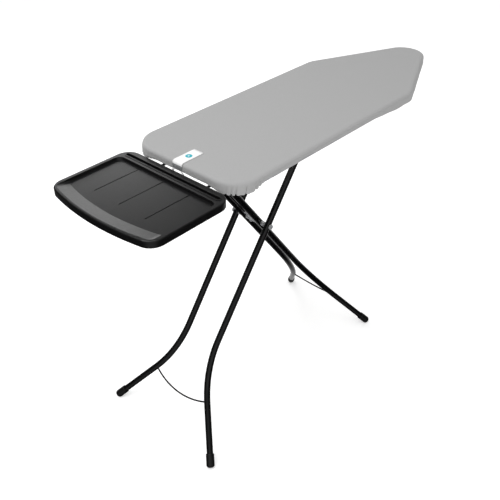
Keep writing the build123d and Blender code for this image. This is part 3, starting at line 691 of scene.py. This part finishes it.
@dataclass
class Label:
    """Woven tape over the square end's edge, with a round motif and two loose tails, and painted
    shade in a darker grey on its faces down the edge.
    """

    box_low: Vector
    box_high: Vector
    tape: bpy.types.Material
    motif: bpy.types.Material
    # painted shade: a darker grey cloth for the tape's faces down the shaded edge
    painted_shade: bpy.types.Material
    bend: float = 0.008
    lift: float = 0.0010
    tape_wall: float = 0.0006
    motif_radius: float = 0.0105
    motif_height: float = 0.0005
    motif_place: float = 0.0465
    drop_radius: float = 0.0026
    drop_point: float = 0.0020
    drop_taper: float = 0.6
    drop_flat: float = 0.12
    drop_back: float = 0.001
    bend_steps: int = 8
    long_edge: float = 0.03
    tail_width: float = 0.009
    tail_drop: float = 0.012
    tail_lean: float = 0.0015
    tail_spread: float = 0.004

    def build(self) -> list[bpy.types.Object]:
        """Builds the tape, its round motif and the drop on it.

        Returns:
            The tape first, and then the two pieces sewn on it.
        """
        return [self.build_tape(), self.build_motif(), self.build_drop()]

    def build_tape(self) -> bpy.types.Object:
        """Runs the tape over the rounded edge and down to its two tails.

        Returns:
            The tape's object.
        """
        bm = bmesh.new()
        low = self.box_low
        high = self.box_high
        level = high.z + self.lift
        start = [bm.verts.new((high.x, y, level)) for y in (low.y, high.y)]
        edge = bm.edges.new(start)
        end = bmesh.ops.extrude_edge_only(bm, edges=[edge])["geom"]
        over = low.x + self.bend
        moved = points(end)
        bmesh.ops.translate(bm, verts=moved, vec=(over - high.x, 0, 0))
        lip = lines(end)
        turned = bmesh.ops.spin(
            bm,
            geom=moved + lip,
            cent=(over, 0, high.z - self.bend),
            axis=(0, -1, 0),
            angle=pi / 2,
            steps=self.bend_steps,
            use_duplicate=False,
        )["geom_last"]
        down = bmesh.ops.extrude_edge_only(bm, edges=lines(turned))["geom"]
        moved = points(down)
        drop = high.z - self.bend - low.z
        bmesh.ops.translate(bm, verts=moved, vec=(0, 0, -drop))
        end_x = moved[0].co.x
        for side, edge_y in ((-1, low.y), (1, high.y)):
            self.hang_tail(bm, end_x, low.z, edge_y, side)
        long_edges = [e for e in bm.edges if e.calc_length() > self.long_edge]
        bmesh.ops.subdivide_edges(bm, edges=long_edges, cuts=7, use_grid_fill=True)
        tape = finished(bm, "label_tape", self.tape)
        # the faces down the edge, above the tape's end, take the darker grey: painted shade
        tape.data.materials.append(self.painted_shade)
        for face in tape.data.polygons:
            on_side = face.center.z < high.z - self.bend
            face.material_index = 1 if on_side and face.center.z > low.z else 0
        wall = tape.modifiers.new("tape", "SOLIDIFY")
        wall.thickness = self.tape_wall
        wall.offset = 0.0
        return tape

    def hang_tail(
        self, bm: bmesh.types.BMesh, x: float, top: float, edge_y: float, side: int
    ) -> None:
        """Hangs one narrow tail under the tape's end.

        Args:
            bm: The tape's mesh.
            x: The tape's plane.
            top: Height of the tape's end.
            edge_y: The tape's edge on that side.
            side: 1 on the left and -1 on the right.
        """
        corners = [bm.verts.new((x, edge_y - side * w, top)) for w in (0.0, self.tail_width)]
        edge = bm.edges.new(corners)
        for share in (0.5, 1.0):
            grown = bmesh.ops.extrude_edge_only(bm, edges=[edge])["geom"]
            edge = lines(grown)[0]
            lean = self.tail_lean * share
            step = Vector((lean, side * self.tail_spread, -self.tail_drop / 2))
            bmesh.ops.translate(bm, verts=points(grown), vec=step)

    def motif_centre(self) -> Vector:
        """Finds the motif's place on top of the tape.

        Returns:
            Its centre.
        """
        x = self.box_low.x + self.motif_place
        y = (self.box_low.y + self.box_high.y) / 2
        return Vector((x, y, self.box_high.z + self.lift + self.tape_wall / 2))

    def build_motif(self) -> bpy.types.Object:
        """Makes a round woven disc with a soft edge.

        Returns:
            The motif's object.
        """
        bm = bmesh.new()
        disc = bmesh.ops.create_circle(bm, cap_ends=True, radius=self.motif_radius, segments=48)
        bmesh.ops.translate(bm, verts=disc["verts"], vec=self.motif_centre())
        grown = bmesh.ops.extrude_face_region(bm, geom=bm.faces[:])["geom"]
        lifted = points(grown)
        bmesh.ops.translate(bm, verts=lifted, vec=(0, 0, self.motif_height))
        rim = [e for e in bm.edges if all(v in lifted for v in e.verts)]
        bmesh.ops.bevel(
            bm,
            geom=rim,
            offset=self.motif_height * 0.8,
            affect="EDGES",
            segments=3,
            profile=0.5,
            material=-1,
        )
        bmesh.ops.recalc_face_normals(bm, faces=bm.faces)
        return finished(bm, "label_motif", self.motif)

    def build_drop(self) -> bpy.types.Object:
        """Makes a plain water drop, woven in the tape's white on the round disc.

        Returns:
            The drop's object.
        """
        bm = bmesh.new()
        size = self.drop_radius
        made = bmesh.ops.create_uvsphere(bm, u_segments=24, v_segments=12, radius=size)
        ball = made["verts"]
        for vert in ball:
            point = max(0.0, vert.co.x) / size
            vert.co.x += self.drop_point * point * point
            vert.co.y *= 1 - self.drop_taper * point * point
        bmesh.ops.scale(bm, verts=ball, vec=(1, 1, self.drop_flat))
        lift = Vector((-self.drop_back, 0, self.motif_height))
        bmesh.ops.translate(bm, verts=ball, vec=self.motif_centre() + lift)
        return finished(bm, "label_drop", self.tape)


@dataclass
class SoftTop:
    """Everything soft on the board's top: cover, pad and label."""

    materials: dict[str, bpy.types.Material]
    motif: Cloth = Cloth("motif_teal", (0.05, 0.42, 0.50), Weave.TAPE, 0.05, 0.06)
    # a darker grey cloth for the label tape's faces down the edge: painted shade
    painted_shade: Cloth = Cloth("label_painted_shade", (0.30, 0.31, 0.32), Weave.TWILL, 0.05, 0.15)
    cut_hem: float = 0.042
    cut_share: float = 0.86
    tape_length: float = 0.122

    def build(self) -> None:
        """Builds the soft pieces and logs each one's name and face count."""
        low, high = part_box("cover")
        outline = Outline(low.x, high.x - low.x, high.y - low.y)
        pad_low, pad_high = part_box("pad")
        label_low, label_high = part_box("label_band")
        pad = Pad(outline, pad_low.z, pad_high.z, self.materials["pad_foam"]).build()
        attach(pad, "board")
        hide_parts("pad")
        cover = Cover(outline, high.z, low.z, self.materials["cover_fabric"]).build()
        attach(cover, "board")
        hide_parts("cover")
        tape = self.materials["label_fabric"]
        motif = self.motif.material()
        painted_shade = self.painted_shade.material()
        label = Label(label_low, label_high, tape, motif, painted_shade).build()
        for piece in label:
            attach(piece, "board")
        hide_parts("label_band")
        for piece in (pad, cover, *label):
            log.info("%s, %d faces", piece.name, len(piece.data.polygons))


# ---- frame parts --------------------------------------------------------------------
@dataclass
class HardParts:
    """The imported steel, plastic and rubber parts, which keep their shapes."""

    materials: dict[str, bpy.types.Material]

    def dress(self) -> None:
        """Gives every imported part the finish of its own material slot."""
        for part in frame["record"]["subparts"]:
            node = frame["nodes"][part["node"]]
            node.data.materials.clear()
            node.data.materials.append(self.materials[part["material_slot"]])
            log.info("%s in %s", part["node"], part["material_slot"])


# ---- studio -------------------------------------------------------------------------
@dataclass(frozen=True)
class Panel:
    """A pale screen that gloss reflects.

    Its edge and middle are cosines of the angle from the direction that it is in.
    """

    towards: Triple
    edge: float
    middle: float
    strength: float


@dataclass(frozen=True)
class Lamp:
    """A square softbox: its place, its side in metres and its power in watts."""

    name: str
    place: Triple
    size: float
    power: float


@dataclass
class Studio:
    """Pale floor, soft lights and the camera."""

    azimuth: float = radians(-47.172)
    elevation: float = radians(35.785)
    roll: float = radians(-0.596)
    eye: Vector = field(default_factory=lambda: Vector((-1.6315, -1.3526, 1.968)))
    lens: float = 50.524
    floor_size: float = 30.0
    surround: float = 0.62
    room_floor: float = 0.01
    room_ceiling: float = 0.30
    room_top: float = 0.9
    floor_glow: float = 0.42
    aim: float = 0.7
    panels: tuple[Panel, ...] = (
        Panel((-0.73, -0.68, 0.0), 0.60, 0.80, 0.50),
        Panel((0.72, 0.50, -0.45), 0.55, 0.95, 0.75),
    )
    lamps: tuple[Lamp, ...] = (
        Lamp("top_light", (-1.3, 0.0, 3.8), 2.6, 52.0),
        Lamp("back_light", (1.6, 3.3, 2.1), 1.5, 17.0),
        Lamp("line_light", (-3.2, 0.35, 3.9), 0.6, 26.0),
    )

    def build(self) -> None:
        """Builds the floor, the world, the lights and the camera."""
        self.build_floor()
        self.build_world()
        for lamp in self.lamps:
            self.build_light(lamp)
        self.build_camera()

    def build_floor(self) -> None:
        """A wide pale floor that stays out of the object."""
        bm = bmesh.new()
        bmesh.ops.create_grid(bm, x_segments=4, y_segments=4, size=self.floor_size)
        paint = Shader("studio_floor", (0.9, 0.9, 0.9), 0.9)
        paint.put("Specular IOR Level", 0.1)
        paint.put("Emission Color", WHITE)
        paint.put("Emission Strength", self.floor_glow)
        paint.tint(paint.noise(2.0), (0.89, 0.89, 0.89), (0.91, 0.91, 0.91))
        floor = finished(bm, "studio_floor", paint.material)
        floor.visible_glossy = False
        floor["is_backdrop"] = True

    def build_world(self) -> None:
        """An even, pale surround whose reflections are those of a dim room."""
        world = bpy.data.worlds.new("studio")
        world.use_nodes = True
        nodes = world.node_tree.nodes
        links = world.node_tree.links
        pale = nodes["Background"]
        pale.inputs["Color"].default_value = WHITE
        pale.inputs["Strength"].default_value = self.surround
        height = nodes.new("ShaderNodeSeparateXYZ")
        direction = nodes.new("ShaderNodeTexCoord").outputs["Generated"]
        links.new(direction, height.inputs["Vector"])
        room = nodes.new("ShaderNodeMapRange")
        room.inputs["From Min"].default_value = 0.0
        room.inputs["From Max"].default_value = self.room_top
        room.inputs["To Min"].default_value = self.room_floor
        room.inputs["To Max"].default_value = self.room_ceiling
        links.new(height.outputs["Z"], room.inputs["Value"])
        glow = room.outputs["Result"]
        for panel in self.panels:
            facing = nodes.new("ShaderNodeVectorMath")
            facing.operation = "DOT_PRODUCT"
            facing.inputs[1].default_value = Vector(panel.towards).normalized()
            links.new(direction, facing.inputs[0])
            spread = nodes.new("ShaderNodeMapRange")
            spread.inputs["From Min"].default_value = panel.edge
            spread.inputs["From Max"].default_value = panel.middle
            spread.inputs["To Max"].default_value = panel.strength
            links.new(facing.outputs["Value"], spread.inputs["Value"])
            both = nodes.new("ShaderNodeMath")
            links.new(glow, both.inputs[0])
            links.new(spread.outputs["Result"], both.inputs[1])
            glow = both.outputs["Value"]
        dim = nodes.new("ShaderNodeBackground")
        links.new(glow, dim.inputs["Strength"])
        rays = nodes.new("ShaderNodeLightPath")
        lit = nodes.new("ShaderNodeMixShader")
        links.new(rays.outputs["Is Glossy Ray"], lit.inputs["Fac"])
        links.new(pale.outputs["Background"], lit.inputs[1])
        links.new(dim.outputs["Background"], lit.inputs[2])
        backdrop = nodes.new("ShaderNodeBackground")
        seen = nodes.new("ShaderNodeMixShader")
        links.new(rays.outputs["Is Camera Ray"], seen.inputs["Fac"])
        links.new(lit.outputs["Shader"], seen.inputs[1])
        links.new(backdrop.outputs["Background"], seen.inputs[2])
        backdrop.inputs["Color"].default_value = WHITE
        links.new(seen.outputs["Shader"], nodes["World Output"].inputs["Surface"])
        bpy.context.scene.world = world

    def build_light(self, lamp: Lamp) -> None:
        """Hangs one square softbox that looks at the board.

        Args:
            lamp: The softbox.
        """
        light = bpy.data.lights.new(lamp.name, "AREA")
        light.shape = "SQUARE"
        light.size = lamp.size
        light.energy = lamp.power
        low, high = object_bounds()
        target = Vector((0, 0, low.z + self.aim * (high.z - low.z)))
        place = Vector(lamp.place)
        hung = bpy.data.objects.new(lamp.name, light)
        hung.visible_camera = False
        hung.location = place
        hung.rotation_mode = "QUATERNION"
        hung.rotation_quaternion = (target - place).to_track_quat("-Z", "Y")
        bpy.context.scene.collection.objects.link(hung)
        log.info("%s, %.0f W", lamp.name, lamp.power)

    def build_camera(self) -> None:
        """The camera, at standing eye height in front of the tray's corner."""
        back = Vector(
            (
                sin(self.azimuth) * cos(self.elevation),
                -cos(self.azimuth) * cos(self.elevation),
                sin(self.elevation),
            )
        )
        level = Vector((cos(self.azimuth), sin(self.azimuth), 0))
        rise = back.cross(level)
        right = level * cos(self.roll) + rise * sin(self.roll)
        up = rise * cos(self.roll) - level * sin(self.roll)
        turn = Matrix((right, up, back)).transposed().to_4x4()
        camera = bpy.data.objects.new("camera", bpy.data.cameras.new("camera"))
        camera.data.lens = self.lens
        camera.data.clip_end = 100.0
        camera.matrix_world = Matrix.Translation(self.eye) @ turn
        bpy.context.scene.collection.objects.link(camera)
        bpy.context.scene.camera = camera
        bpy.context.scene.view_settings.view_transform = "Standard"


def corners(box: tuple[Vector, Vector]) -> list[list[float]]:
    """A box's two corners as plain lists."""
    return [list(corner) for corner in box]


def main() -> None:
    """Builds the finishes, dresses the parts, adds the soft top and sets up the studio."""
    logging.basicConfig(level=logging.INFO, format="%(name)s: %(message)s")
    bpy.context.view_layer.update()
    materials = {slot: finish.material() for slot, finish in FINISHES.items()}
    HardParts(materials).dress()
    SoftTop(materials).build()
    Studio().build()


if __name__ == "__main__":
    main()
